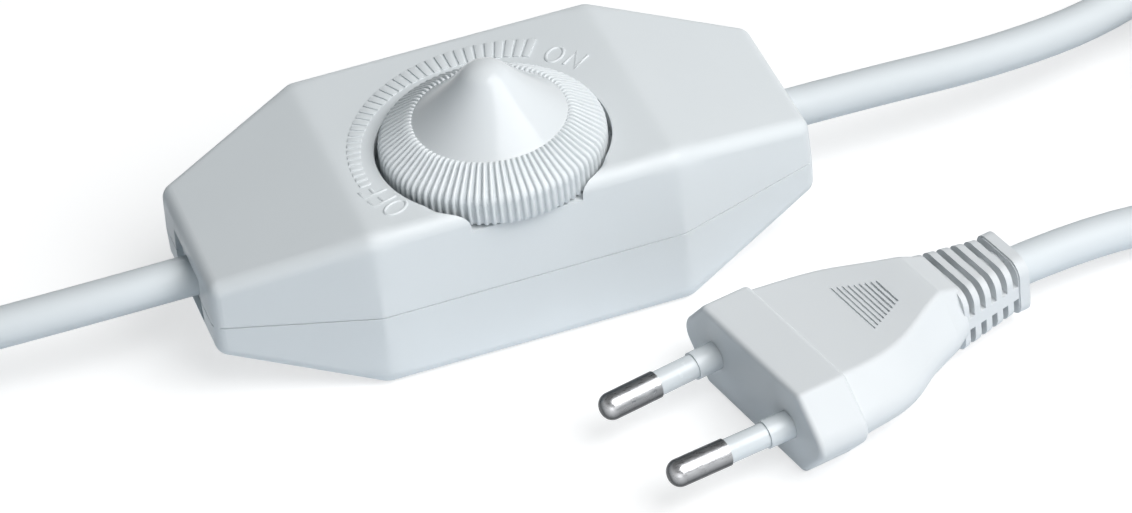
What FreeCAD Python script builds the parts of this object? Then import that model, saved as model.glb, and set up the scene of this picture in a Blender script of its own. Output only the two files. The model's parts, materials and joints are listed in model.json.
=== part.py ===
import FreeCAD, Part
import math
import os

# An inline cord dimmer with its supply lead and plug, and a bare-ended lamp lead.
# Millimetres. The origin is the middle of the flat base, X runs along the cords with the
# supply side at +X, the knob shows through the front wall at -Y, and Z is up.

Vec = FreeCAD.Vector

# Housing: a lozenge in plan, with sloped ends above and below
housing_length = 90.0
housing_width = 42.5
housing_height = 26.1
parting_height = 12.5
middle_length = 44.9
base_length = 45.7
end_width = 26.6
end_top_height = 19.2
end_base_height = 7.2
upper_draft_deg = 2.0
lower_draft_deg = 1.0
wall = 2.0
edge_radius = 2.2
lip_height = 1.2
lip_thickness = 0.9
lip_clearance = 0.1
parting_line_width = 0.24
parting_line_depth = 0.2
exit_recess_width = 13.0
exit_recess_height = 7.6
exit_recess_depth = 0.9
spill = 1.0

# Knob in its pocket
knob_axis_y = -6.1
pocket_radius = 16.9
pocket_edge_radius = 0.9
pocket_floor_height = 23.0
pocket_wall = 1.6
knob_gap = 0.6
knob_lift = 0.5
knob_shoulder_height = 28.4
knob_rim_radius = 11.5
knob_rim_height = 31.0
knob_rim_step = 0.35
knob_tip_height = 40.0
knob_tip_radius = 3.2
knob_tip_angle_deg = 56.0
knob_wall = 1.8
knob_hollow_rise = 1.2
knob_boss_radius = 5.2
knob_boss_drop = 0.2
knob_boss_overlap = 2.0
rib_count = 90
rib_width = 0.68
rib_depth = 0.55
rib_nub = 0.55
rib_root = 0.4

# Shaft and fits
shaft_radius = 3.0
shaft_flat_depth = 1.5
shaft_top_height = 33.0
seat_clearance = 0.05
bushing_radius = 4.4

# Cord grips, bosses and screws
grip_inset = 6.0
grip_length = 5.0
grip_x = housing_length / 2 - grip_inset
grip_inner_x = grip_x - grip_length / 2
grip_ear_thickness = 2.0
grip_cap_thickness = 1.6
grip_width = 20.0
grip_screw_y = 7.4
saddle_width = 21.0
boss_radius = 3.0
boss_gap = 0.5
boss_x = grip_inner_x - boss_gap - boss_radius
boss_y = 10.5
screw_radius = 1.45
screw_hole_clearance = 0.15
screw_head_radius = 2.7
screw_head_height = 1.9
housing_screw_seat_height = 7.3
housing_screw_length = 11.0
small_screw_radius = 1.1
small_head_radius = 2.1
small_head_height = 1.4
small_screw_length = 4.5
slot_width = 0.6
pilot_end_gap = 0.5

# Circuit board and what stands on it
board_base_height = 6.5
board_thickness = 1.6
board_end_gap = 5.5
board_length = 2 * (grip_inner_x - board_end_gap)
board_width = 31.0
board_end_width = 14.0
board_taper = 9.0
part_gap = 0.5
pot_radius = 8.0
pot_height = 7.5
pot_floor = 2.0
pot_lug_size = (1.2, 2.0, 1.0)
pot_lug_pitch = 4.0
terminal_length = 8.0
terminal_width = 11.0
terminal_height = 9.0
terminal_pitch = 5.5
terminal_x = board_length / 2 - terminal_length / 2
terminal_screw_radius = 1.5
terminal_hole_radius = 1.4
heat_sink_size = (12.0, 17.0)
heat_sink_height = 9.0
heat_sink_thickness = 1.5
heat_sink_x = -15.5
heat_sink_y = -board_width / 2 + part_gap + heat_sink_size[1] / 2
triac_size = (10.0, 9.2, 4.5)
triac_tab_length = 6.3
triac_tab_thickness = 1.3
triac_lead_radius = 0.4
triac_lead_pitch = 2.54
triac_lead_reach = 2.0
choke_place = (13.5, 7.2)
choke_core_radii = (3.6, 6.8)
choke_core_height = 5.0
choke_wire = 1.0
choke_winding_deg = 320.0
film_capacitor_size = (14.5, 6.0, 11.0)
film_capacitor_place = (-12.0, 11.8)
timing_capacitor_size = (7.0, 3.4, 6.5)
timing_capacitor_place = (0.8, 12.6)
capacitor_rounding = 0.6
resistor_places = ((0.4, 4.2), (0.4, 6.8), (0.4, 9.4))
resistor_length = 5.0
resistor_radius = 1.1
diac_length = 3.6
diac_radius = 0.9
diac_x = terminal_x - terminal_length / 2 - part_gap - diac_radius
wire_radius = 0.3
lead_overhang = 1.6
body_lift = 0.1
fuse_place = (14.2, -8.6)
fuse_radius = 4.2
fuse_height = 7.6
fuse_rounding = 0.6
standoff_radius = 2.6
board_screw_places = ((board_length / 2 - 10.0, 2.9 - board_width / 2),
                      (9.4 - board_length / 2, board_width / 2 - 7.5))
board_support_places = ((board_length / 2 - 14.0, board_width / 2 - 3.5),
                        (11.0 - board_length / 2, 2.5 - board_width / 2))

# Cords
cord_radius = 3.0
core_radius = 1.1
sheath_past_grip = 0.7
sheath_end_x = grip_inner_x - sheath_past_grip
core_gap = 0.1
coil_layers = 2
coil_edge = 1.6
supply_coil_centre = (143.0, -18.0)
supply_coil_outer_radius = 45.0
supply_coil_turns = 4
lamp_coil_centre = (-131.0, -25.0)
lamp_coil_outer_radius = 39.0
lamp_coil_turns = 2
lamp_tail_length = 20.5
bare_core_length = 8.0
bare_core_spread = 0.35
ferrule_length = 6.0
ferrule_radius = 1.35

# Plug, in its own frame: u from the face towards the cord, w across, height above the floor
plug_face = (21.0, -50.9)
plug_heading_deg = 12.5
plug_width = 35.3
plug_height = 13.7
plug_flat_width = 24.4
plug_side_rounding = 3.0
plug_top_rounding = 1.2
flange_depth = 8.0
flange_edge_radius = 0.8
# Each section of the body: u, half width, half height, half width of the flat top
plug_body_sections = (
    (7.0, 16.6, 6.5, 11.6),
    (11.0, 16.3, 6.2, 11.3),
    (15.0, 15.8, 6.0, 10.7),
    (19.0, 14.2, 6.0, 9.6),
    (22.5, 11.9, 6.15, 8.0),
    (25.5, 10.4, 6.4, 6.4),
    (28.3, 9.4, 6.5, 5.1),
)
neck_section = (31.4, 7.3, 5.3, 4.8)
grip_line_count = 9
grip_line_pitch = 0.72
grip_line_width = 0.32
grip_line_start = 16.9
grip_line_floor = 5.75
grip_line_half_widths = (5.6, 2.8)
relief_start = 31.0
relief_end = 43.0
relief_widths = (13.6, 9.6)
relief_heights = (10.2, 8.6)
relief_rounding = 2.4
relief_slots = 5
relief_first_rib = 0.9
relief_slot_width = 1.0
relief_core_radius = 3.7
relief_spine = 2.0
relief_collar_size = (1.6, 10.6, 9.4)
pin_pitch_face = 18.6
pin_pitch_tip = 17.5
pin_length = 19.0
pin_radius = 2.0
pin_metal_length = 9.0
pin_neck_radius = 1.5
pin_root = 7.0
pin_end_rounding = 1.7
sleeve_root = 2.0
sleeve_radius = 1.8
sleeve_collar_length = 3.8
sleeve_collar_radius = 2.05


def box(x_low, x_high, y_low, y_high, z_low, z_high):
    size = (x_high - x_low, y_high - y_low, z_high - z_low)
    return Part.makeBox(*size, Vec(x_low, y_low, z_low))


def centred_box(place, size, z_low, z_high):
    x, y = place
    dx, dy = size[0] / 2, size[1] / 2
    return box(x - dx, x + dx, y - dy, y + dy, z_low, z_high)


def post(x, y, radius, z_low, z_high):
    return Part.makeCylinder(radius, z_high - z_low, Vec(x, y, z_low))


def prism(points, normal_shift):
    wire = Part.makePolygon(points + points[:1])
    return Part.Face(wire).extrude(normal_shift)


def save(name, shape):
    solids = shape.Solids
    for solid in solids:
        if not solid.isValid() or solid.Volume <= 0:
            raise ValueError(name + " isn't a valid solid")
    kept = solids[0] if len(solids) == 1 else Part.makeCompound(solids)
    kept.exportStep("parts/" + name + ".step")
    print(name, len(solids), round(sum(solid.Volume for solid in solids), 1))


# Housing form

def plan_wire(inset, height):
    """The eight-sided plan outline, moved in by inset, at a height."""
    half_length, half_width = housing_length / 2, housing_width / 2
    half_middle, half_end = middle_length / 2, end_width / 2
    quarter = [(half_length, half_end), (half_middle, half_width)]
    corners = quarter + [(-x, y) for x, y in reversed(quarter)]
    corners += [(-x, -y) for x, y in corners]
    points = [Vec(x, y, height) for x, y in corners]
    wire = Part.makePolygon(points + points[:1])
    return wire.makeOffset2D(-inset, 2) if inset else wire


def side_profile(points, inset):
    """A prism across Y whose outline in XZ is moved in by inset."""
    outline = [Vec(x, -housing_width, z) for x, z in points]
    wire = Part.makePolygon(outline + outline[:1])
    if inset:
        wire = wire.makeOffset2D(-inset, 2)
    return Part.Face(wire).extrude(Vec(0, 2 * housing_width, 0))


def half_form(upper, inset):
    """One half of the housing's outer form with every face moved in by inset."""
    draft = math.tan(math.radians(upper_draft_deg if upper else lower_draft_deg))
    far = housing_height + spill if upper else -spill
    near = parting_height - 2 * edge_radius if upper else parting_height + 2 * edge_radius
    sign = 1 if upper else -1
    wires = [plan_wire(inset + draft * sign * (z - parting_height), z) for z in (near, far)]
    plan = Part.makeLoft(wires, True, True)
    half_length = housing_length / 2
    past = half_length + 10 * spill
    if upper:
        flat = middle_length / 2
        slope = (housing_height - end_top_height) / (half_length - flat)
        points = [(-flat, housing_height), (flat, housing_height),
                  (past, housing_height - slope * (past - flat)), (past, near - past),
                  (-past, near - past), (-past, housing_height - slope * (past - flat))]
    else:
        flat = base_length / 2
        slope = end_base_height / (half_length - flat)
        points = [(-flat, 0), (flat, 0), (past, slope * (past - flat)), (past, near + past),
                  (-past, near + past), (-past, slope * (past - flat))]
    return plan.common(side_profile(points, inset))


def rounded_half(upper):
    """The outer form of one half with rounded edges, cut at the parting plane."""
    core = half_form(upper, edge_radius)
    rounded = core.makeOffsetShape(edge_radius, 0.001, join=0, fill=False)
    solid = Part.makeSolid(rounded) if not rounded.Solids else rounded.Solids[0]
    reach = housing_length
    if upper:
        keep = box(-reach, reach, -reach, reach, parting_height, parting_height + reach)
    else:
        keep = box(-reach, reach, -reach, reach, parting_height - reach, parting_height)
    return solid.common(keep)


def cord_channel(radius):
    reach = housing_length
    return Part.makeCylinder(radius, 2 * reach, Vec(-reach, 0, parting_height), Vec(1, 0, 0))


def exit_recesses():
    """The shallow rectangular recess round the cord in each end face."""
    half_length = housing_length / 2
    half_width, half_height = exit_recess_width / 2, exit_recess_height / 2
    recesses = []
    for side in (-1, 1):
        near = side * (half_length - exit_recess_depth)
        far = side * (half_length + spill)
        recesses.append(box(min(near, far), max(near, far), -half_width, half_width,
                            parting_height - half_height, parting_height + half_height))
    return recesses


def parting_line(upper):
    """A fine groove round the outside where the halves meet."""
    depth = parting_line_width / 2
    z_low = parting_height if upper else parting_height - depth
    reach = housing_length
    slab = box(-reach, reach, -reach, reach, z_low, z_low + depth)
    return slab.cut(half_form(upper, parting_line_depth))


def mirrored_places(x, y):
    return [(sx * x, sy * y) for sx in (-1, 1) for sy in (-1, 1)]


def knob_pocket():
    """The round pocket for the knob, flared at the top by a quarter round."""
    outer = pocket_radius + pocket_edge_radius
    low = housing_height - pocket_edge_radius
    high = housing_height + spill
    middle = outer - pocket_edge_radius * math.cos(math.pi / 4)
    points = [Vec(0, 0, low), Vec(pocket_radius, 0, low), Vec(outer, 0, housing_height),
              Vec(outer, 0, high), Vec(0, 0, high)]
    rise = Part.Arc(points[1], Vec(middle, 0, low + pocket_edge_radius * math.sin(math.pi / 4)), points[2])
    edges = [Part.LineSegment(points[0], points[1]), rise, Part.LineSegment(points[2], points[3]),
             Part.LineSegment(points[3], points[4]), Part.LineSegment(points[4], points[0])]
    flare = Part.Face(Part.Wire([edge.toShape() for edge in edges]))
    flare = flare.revolve(Vec(0, 0, 0), Vec(0, 0, 1), 360)
    flare.translate(Vec(0, knob_axis_y, 0))
    return flare.fuse(post(0, knob_axis_y, pocket_radius, pocket_floor_height, low + spill / 2))


def make_upper_shell():
    cavity = half_form(True, wall)
    well_floor = pocket_floor_height - pocket_wall
    well = post(0, knob_axis_y, pocket_radius + pocket_wall, well_floor, housing_height)
    bosses = [post(x, y, boss_radius, parting_height, housing_height)
              for x, y in mirrored_places(boss_x, boss_y)]
    shell = rounded_half(True)
    inside = cavity.cut([well] + bosses)
    shell = shell.cut(inside)
    lip_room = half_form(True, wall - lip_thickness - lip_clearance)
    reach = housing_length
    lip_room = lip_room.common(box(-reach, reach, -reach, reach, parting_height - spill,
                                   parting_height + lip_height + lip_clearance))
    lip_room = lip_room.cut(bosses)
    shaft_hole = post(0, knob_axis_y, bushing_radius + seat_clearance, well_floor - spill,
                      pocket_floor_height + spill)
    pilot_top = housing_screw_seat_height + housing_screw_length + pilot_end_gap
    pilots = [post(x, y, screw_radius + seat_clearance, parting_height - spill, pilot_top)
              for x, y in mirrored_places(boss_x, boss_y)]
    cuts = [lip_room, knob_pocket(), shaft_hole, cord_channel(cord_radius + seat_clearance),
            parting_line(True)]
    return shell.cut(cuts + pilots + exit_recesses())


def make_lower_shell():
    cavity = half_form(False, wall)
    bosses = [post(x, y, boss_radius, 0, parting_height)
              for x, y in mirrored_places(boss_x, boss_y)]
    places = board_screw_places + board_support_places
    standoffs = [post(x, y, standoff_radius, 0, board_base_height) for x, y in places]
    saddles = [centred_box((side * grip_x, 0), (grip_length, saddle_width), 0, parting_height)
               for side in (-1, 1)]
    inside = cavity.cut(bosses + standoffs + saddles)
    shell = rounded_half(False).cut(inside)
    lip_outer = half_form(True, wall - lip_thickness)
    reach = housing_length
    lip = lip_outer.common(box(-reach, reach, -reach, reach, parting_height,
                               parting_height + lip_height))
    lip = lip.cut(half_form(True, wall))
    shell = shell.fuse(lip)
    shank = screw_radius + screw_hole_clearance
    head = screw_head_radius + screw_hole_clearance
    cuts = [cord_channel(cord_radius + seat_clearance), parting_line(False)]
    for x, y in mirrored_places(boss_x, boss_y):
        cuts.append(post(x, y, shank, -spill, parting_height + spill))
        cuts.append(post(x, y, head, -spill, housing_screw_seat_height))
    for x, y in mirrored_places(grip_x, grip_screw_y):
        cuts.append(post(x, y, small_screw_radius + seat_clearance,
                         parting_height - small_screw_length, parting_height + spill))
    for x, y in board_screw_places:
        cuts.append(post(x, y, small_screw_radius + seat_clearance,
                         board_base_height - small_screw_length, board_base_height + spill))
    return shell.cut(cuts + exit_recesses())


# Knob

def knob_outer_radius():
    return pocket_radius - knob_gap


def make_knob():
    """A hollow cone over a ribbed skirt, with a boss bored for the shaft's flat."""
    base = pocket_floor_height + knob_lift
    outer = knob_outer_radius()
    floor_radius = outer - rib_depth
    slope_deg = math.atan2(knob_rim_height - knob_shoulder_height, outer - knob_rim_radius)
    drop = rib_depth / math.cos(slope_deg)
    tip_angle = math.radians(knob_tip_angle_deg)
    tip_centre = Vec(0, 0, knob_tip_height - knob_tip_radius)
    tip_edge = tip_centre + knob_tip_radius * Vec(math.sin(tip_angle), 0, math.cos(tip_angle))
    tip_middle = tip_centre + knob_tip_radius * Vec(math.sin(tip_angle / 2), 0, math.cos(tip_angle / 2))
    cone_start = Vec(knob_rim_radius - knob_rim_step, 0, knob_rim_height - knob_rim_step)
    flank = tip_edge - cone_start
    chord_angle = math.atan2(flank.z, -flank.x)
    sag = flank.Length / 2 * math.tan((tip_angle - chord_angle) / 2)
    outward = Vec(flank.z, 0, -flank.x).normalize()
    flank_middle = (cone_start + tip_edge) * 0.5 - outward * sag
    shoulder = Vec(floor_radius, 0, knob_shoulder_height - drop * 0.4)
    rim_floor = Vec(knob_rim_radius, 0, knob_rim_height - drop)
    under_cone = Vec(knob_boss_radius, 0, knob_rim_height + knob_hollow_rise)
    edges = [
        Part.LineSegment(Vec(floor_radius, 0, base), shoulder),
        Part.LineSegment(shoulder, rim_floor),
        Part.LineSegment(rim_floor, Vec(knob_rim_radius, 0, knob_rim_height)),
        Part.LineSegment(Vec(knob_rim_radius, 0, knob_rim_height), cone_start),
        Part.Arc(cone_start, flank_middle, tip_edge),
        Part.Arc(tip_edge, tip_middle, Vec(0, 0, knob_tip_height)),
        Part.LineSegment(Vec(0, 0, knob_tip_height), Vec(0, 0, under_cone.z)),
        Part.LineSegment(Vec(0, 0, under_cone.z), under_cone),
        Part.LineSegment(under_cone, Vec(knob_rim_radius - knob_wall, 0, knob_rim_height - knob_wall)),
        Part.LineSegment(Vec(knob_rim_radius - knob_wall, 0, knob_rim_height - knob_wall),
                         Vec(floor_radius - knob_wall, 0, knob_shoulder_height - knob_wall)),
        Part.LineSegment(Vec(floor_radius - knob_wall, 0, knob_shoulder_height - knob_wall),
                         Vec(floor_radius - knob_wall, 0, base)),
        Part.LineSegment(Vec(floor_radius - knob_wall, 0, base), Vec(floor_radius, 0, base)),
    ]
    profile = Part.Face(Part.Wire([edge.toShape() for edge in edges]))
    skirt = profile.revolve(Vec(0, 0, 0), Vec(0, 0, 1), 360)
    boss = post(0, 0, knob_boss_radius, base + knob_boss_drop, knob_rim_height + knob_boss_overlap)
    rib_points = [
        Vec(floor_radius - rib_root, -rib_width / 2, base),
        Vec(outer, -rib_width / 2, base),
        Vec(outer, -rib_width / 2, knob_shoulder_height),
        Vec(knob_rim_radius, -rib_width / 2, knob_rim_height),
        Vec(knob_rim_radius - rib_nub, -rib_width / 2, knob_rim_height),
        Vec(knob_rim_radius - rib_nub, -rib_width / 2, knob_rim_height - drop - rib_root),
        Vec(floor_radius - rib_root, -rib_width / 2, knob_shoulder_height - drop - rib_root),
    ]
    rib = prism(rib_points, Vec(0, rib_width, 0))
    ribs = []
    for index in range(rib_count):
        turned = rib.copy()
        turned.rotate(Vec(0, 0, 0), Vec(0, 0, 1), index * 360 / rib_count)
        ribs.append(turned)
    knob = skirt.fuse([boss] + ribs)
    bore = shaft_form(seat_clearance, base - spill, shaft_top_height + seat_clearance)
    knob = knob.cut(bore)
    knob.translate(Vec(0, knob_axis_y, 0))
    return knob


def shaft_form(grow, z_low, z_high):
    """The round shaft above the bushing with one flat, about the Z axis."""
    radius = shaft_radius + grow
    flat_y = shaft_radius - shaft_flat_depth + grow
    shaft = post(0, 0, radius, z_low, z_high)
    return shaft.cut(box(-radius - spill, radius + spill, flat_y, radius + spill, z_low, z_high + spill))


# Potentiometer and the board's other pieces

def board_top():
    return board_base_height + board_thickness


def bushing_top():
    return pocket_floor_height


def make_potentiometer():
    low = board_top()
    body = post(0, knob_axis_y, pot_radius, low, low + pot_height)
    body = body.fuse(post(0, knob_axis_y, bushing_radius, low, bushing_top()))
    lug_width, lug_length, lug_thickness = pot_lug_size
    lug_y = knob_axis_y - pot_radius / 2 - lug_length / 2
    lugs = [centred_box((index * pot_lug_pitch, lug_y), (lug_width, pot_radius + lug_length),
                        low, low + lug_thickness) for index in (-1, 0, 1)]
    body = body.fuse(lugs)
    return body.cut(post(0, knob_axis_y, shaft_radius + seat_clearance, low + pot_floor, bushing_top() + spill))


def make_potentiometer_shaft():
    foot = board_top() + pot_floor + 2 * seat_clearance
    turned = post(0, 0, shaft_radius, foot, bushing_top())
    shaft = turned.fuse(shaft_form(0, bushing_top(), shaft_top_height))
    shaft.translate(Vec(0, knob_axis_y, 0))
    return shaft


def make_circuit_board():
    half_length, half_width = board_length / 2, board_width / 2
    half_middle, half_end = half_length - board_taper, board_end_width / 2
    quarter = [(half_length, half_end), (half_middle, half_width)]
    corners = quarter + [(-x, y) for x, y in reversed(quarter)]
    corners += [(-x, -y) for x, y in corners]
    points = [Vec(x, y, board_base_height) for x, y in corners]
    board = prism(points, Vec(0, 0, board_thickness))
    holes = [post(x, y, small_screw_radius + screw_hole_clearance, 0, board_top() + spill)
             for x, y in board_screw_places]
    return board.cut(holes)


def make_terminal(side):
    low = board_top()
    x = side * terminal_x
    block = centred_box((x, 0), (terminal_length, terminal_width), low, low + terminal_height)
    mouth_x = side * (terminal_x + terminal_length / 2 + spill)
    deep = terminal_length * 0.75 + spill
    cuts = []
    for pole in (-1, 1):
        y = pole * terminal_pitch / 2
        cuts.append(Part.makeCylinder(terminal_hole_radius, deep, Vec(mouth_x, y, parting_height),
                                      Vec(-side, 0, 0)))
        cuts.append(post(x, y, terminal_screw_radius + seat_clearance, parting_height,
                         low + terminal_height + spill))
    return block.cut(cuts)


def make_terminal_screws():
    top = board_top() + terminal_height - slot_width
    seat = parting_height + core_radius + seat_clearance
    screws = []
    for x, y in mirrored_places(terminal_x, terminal_pitch / 2):
        screw = post(x, y, terminal_screw_radius, seat, top)
        slot = centred_box((x, y), (slot_width, 4 * terminal_screw_radius), top - slot_width, top + spill)
        screws.append(screw.cut(slot))
    return Part.makeCompound(screws)


def make_heat_sink():
    low = board_top()
    width, length = heat_sink_size
    plate = centred_box((heat_sink_x, heat_sink_y), heat_sink_size, low, low + heat_sink_thickness)
    fin_y = heat_sink_y - (length - heat_sink_thickness) / 2
    fin = centred_box((heat_sink_x, fin_y), (width, heat_sink_thickness), low, low + heat_sink_height)
    sink = plate.fuse(fin)
    reach = low + heat_sink_height
    return sink.cut(post(*triac_bolt_place(), screw_radius + seat_clearance, low - spill, reach))


def triac_tab_start():
    return heat_sink_y - heat_sink_size[1] / 2 + heat_sink_thickness + part_gap


def triac_bolt_place():
    return heat_sink_x, triac_tab_start() + triac_tab_length / 2


def make_triac():
    """Body and tab flat on the plate, with three leads bent down to the board."""
    seat = board_top() + heat_sink_thickness
    x = heat_sink_x
    half = triac_size[0] / 2
    tab_low = triac_tab_start()
    body_low = tab_low + triac_tab_length
    body_high = body_low + triac_size[1]
    tab = box(x - half, x + half, tab_low, body_high, seat, seat + triac_tab_thickness)
    body = box(x - half, x + half, body_low, body_high, seat, seat + triac_size[2])
    triac = tab.fuse(body)
    lead_height = seat + triac_size[2] / 2
    lead_end = body_high + triac_lead_reach
    for offset in (-triac_lead_pitch, 0.0, triac_lead_pitch):
        flat = Part.makeCylinder(triac_lead_radius, lead_end - body_high + spill,
                                 Vec(x + offset, body_high - spill, lead_height), Vec(0, 1, 0))
        drop = post(x + offset, lead_end, triac_lead_radius, board_top(), lead_height)
        knee = Part.makeSphere(triac_lead_radius, Vec(x + offset, lead_end, lead_height))
        triac = triac.fuse([flat, drop, knee])
    reach = seat + triac_size[2]
    return triac.cut(post(*triac_bolt_place(), screw_radius + seat_clearance, seat - spill, reach))


def make_triac_bolt():
    x, y = triac_bolt_place()
    low = board_top() + seat_clearance
    seat = board_top() + heat_sink_thickness + triac_tab_thickness
    head_top = seat + screw_head_height
    bolt = post(x, y, screw_radius, low, seat).fuse(post(x, y, screw_head_radius, seat, head_top))
    slot = centred_box((x, y), (slot_width, 4 * screw_head_radius), seat + screw_head_height / 2,
                       head_top + spill)
    return bolt.cut(slot)


def make_choke():
    """A ferrite ring and the wire wound round most of it."""
    x, y = choke_place
    inner, outer = choke_core_radii
    low = board_top() + choke_wire
    high = low + choke_core_height
    core = post(x, y, outer, low, high).cut(post(x, y, inner, low - spill, high + spill))
    gap = seat_clearance
    section = [Vec(inner - choke_wire, 0, low - choke_wire), Vec(outer + choke_wire, 0, low - choke_wire),
               Vec(outer + choke_wire, 0, high + choke_wire), Vec(inner - choke_wire, 0, high + choke_wire)]
    room = [Vec(inner - gap, 0, low - gap), Vec(outer + gap, 0, low - gap),
            Vec(outer + gap, 0, high + gap), Vec(inner - gap, 0, high + gap)]
    face = Part.Face(Part.makePolygon(section + section[:1]))
    face = face.cut(Part.Face(Part.makePolygon(room + room[:1])))
    winding = face.revolve(Vec(0, 0, 0), Vec(0, 0, 1), choke_winding_deg)
    winding.translate(Vec(x, y, 0))
    return core, winding


def make_axial_part(place, length, radius, thickness):
    """A small round body lying across the board between two bent wire ends."""
    x, y = place
    axis_height = board_top() + radius + body_lift
    body = Part.makeCylinder(radius, length, Vec(x - length / 2, y, axis_height), Vec(1, 0, 0))
    reach = length / 2 + lead_overhang
    wire = Part.makeCylinder(thickness, 2 * reach, Vec(x - reach, y, axis_height), Vec(1, 0, 0))
    legs = [post(x + side * reach, y, thickness, board_top(), axis_height) for side in (-1, 1)]
    knees = [Part.makeSphere(thickness, Vec(x + side * reach, y, axis_height)) for side in (-1, 1)]
    return body.fuse([wire] + legs + knees)


def make_diac():
    diac = make_axial_part((0, 0), diac_length, diac_radius, wire_radius)
    diac.rotate(Vec(0, 0, 0), Vec(0, 0, 1), 90)
    diac.translate(Vec(diac_x, 0, 0))
    return diac


def make_resistors():
    bodies = [make_axial_part(place, resistor_length, resistor_radius, wire_radius)
              for place in resistor_places]
    return Part.makeCompound(bodies)


def make_block_part(place, size):
    block = centred_box(place, size, board_top(), board_top() + size[2])
    upright = [edge for edge in block.Edges if abs(edge.tangentAt(edge.FirstParameter).z) > 0.9]
    return block.makeFillet(capacitor_rounding, upright)


def make_fuse():
    low = board_top()
    x, y = fuse_place
    body = post(x, y, fuse_radius, low, low + fuse_height)
    return body.makeFillet(fuse_rounding, [body.Edges[0]])


# Grips and screws

def make_cord_grips():
    """A bar across each cord, seated on the saddle, with a half-round hump over the cord."""
    grips = []
    for side in (-1, 1):
        place = (side * grip_x, 0)
        ear_top = parting_height + grip_ear_thickness
        bar = centred_box(place, (grip_length, grip_width), parting_height, ear_top)
        hump_radius = cord_radius + grip_cap_thickness
        start = Vec(side * grip_x - grip_length / 2, 0, parting_height)
        hump = Part.makeCylinder(hump_radius, grip_length, start, Vec(1, 0, 0))
        reach = 2 * hump_radius
        hump = hump.common(centred_box(place, (grip_length, reach), parting_height, parting_height + reach))
        grip = bar.fuse(hump).cut(cord_channel(cord_radius + seat_clearance))
        holes = [post(side * grip_x, y * grip_screw_y, small_screw_radius + screw_hole_clearance,
                      parting_height - spill, ear_top + spill) for y in (-1, 1)]
        grips.append(grip.cut(holes))
    return Part.makeCompound(grips)


def make_screw(place, seat, length, radius, head_radius, head_height, up=True):
    """A slotted screw whose head stands above its seat, or below it."""
    x, y = place
    sign = 1 if up else -1
    ends = sorted((seat, seat - sign * length))
    heads = sorted((seat, seat + sign * head_height))
    screw = post(x, y, radius, *ends).fuse(post(x, y, head_radius, *heads))
    slots = sorted((seat + sign * head_height / 2, seat + sign * (head_height + spill)))
    return screw.cut(centred_box(place, (slot_width, 4 * head_radius), *slots))


def make_housing_screws():
    return Part.makeCompound([
        make_screw(place, housing_screw_seat_height, housing_screw_length, screw_radius,
                   screw_head_radius, screw_head_height, up=False)
        for place in mirrored_places(boss_x, boss_y)])


def make_grip_screws():
    seat = parting_height + grip_ear_thickness
    length = grip_ear_thickness + small_screw_length - pilot_end_gap
    return Part.makeCompound([
        make_screw(place, seat, length, small_screw_radius, small_head_radius, small_head_height)
        for place in mirrored_places(grip_x, grip_screw_y)])


def make_board_screws():
    length = board_thickness + small_screw_length - pilot_end_gap
    return Part.makeCompound([
        make_screw(place, board_top(), length, small_screw_radius, small_head_radius, small_head_height)
        for place in board_screw_places])


# Cords

def route_length_and_tube(points, radius):
    """Straight runs joined by tangent arcs as large as the runs allow, swept with a circle."""
    corners = [Vec(*point) for point in points]
    edges = []
    radii = []
    start = corners[0]
    for before, corner, after in zip(corners, corners[1:], corners[2:]):
        run_in = corner - before
        run_out = after - corner
        reach = 0.45 * min(run_in.Length, run_out.Length)
        turn = run_in.getAngle(run_out)
        radii.append(reach / math.tan(turn / 2))
        run_in.normalize()
        run_out.normalize()
        arc_start = corner - run_in * reach
        arc_end = corner + run_out * reach
        bisector = (run_out - run_in).normalize()
        sagitta = radii[-1] * (1 / math.cos(turn / 2) - 1)
        edges.append(Part.LineSegment(start, arc_start).toShape())
        edges.append(Part.Arc(arc_start, corner + bisector * sagitta, arc_end).toShape())
        start = arc_end
    edges.append(Part.LineSegment(start, corners[-1]).toShape())
    spine = Part.Wire(edges)
    direction = (corners[1] - corners[0]).normalize()
    section = Part.Wire([Part.Circle(corners[0], direction, radius).toShape()])
    tube = spine.makePipeShell([section], True, False)
    return spine.Length, radii, tube


def cord_tube(name, points, radius=cord_radius):
    length, radii, tube = route_length_and_tube(points, radius)
    expected = math.pi * radius ** 2 * length
    print(name, "length", round(length, 1), "radii", [round(value, 1) for value in radii],
          "volume ratio", round(tube.Volume / expected, 5))
    return tube


def coil(centre, outer, turns):
    """One closed ring as wide as its turns side by side and as high as its layers."""
    x, y = centre
    height = 2 * cord_radius * coil_layers
    inner = outer - 2 * cord_radius * turns
    body = post(x, y, outer, 0, height).cut(post(x, y, inner, -spill, height + spill))
    return body.makeChamfer(coil_edge, [edge for edge in body.Edges if edge.Closed])


def cores(side):
    """The two insulated cores from the end of the sheath into the terminal block."""
    inner_y = core_radius + core_gap
    outer_y = terminal_pitch / 2
    start = sheath_end_x - core_gap
    end = terminal_x + core_radius
    bend = (start - terminal_x - terminal_length / 2) / 3
    bodies = []
    for pole in (-1, 1):
        points = [(side * start, pole * inner_y, parting_height),
                  (side * (start - bend), pole * (inner_y + core_gap), parting_height),
                  (side * (start - 2 * bend), pole * (outer_y - core_gap), parting_height),
                  (side * end, pole * outer_y, parting_height)]
        bodies.append(route_length_and_tube(points, core_radius)[2])
    return Part.makeCompound(bodies)


def supply_cord_route():
    x, y = supply_coil_centre
    outer_turn = supply_coil_outer_radius - cord_radius
    return [(sheath_end_x, 0, parting_height), (56.0, 0, 12.4), (78.0, 0.8, 10.8), (99.0, 5.2, 9.4),
            (121.5, 17.5, 9.0), (x, y + outer_turn, 9.0)]


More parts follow.
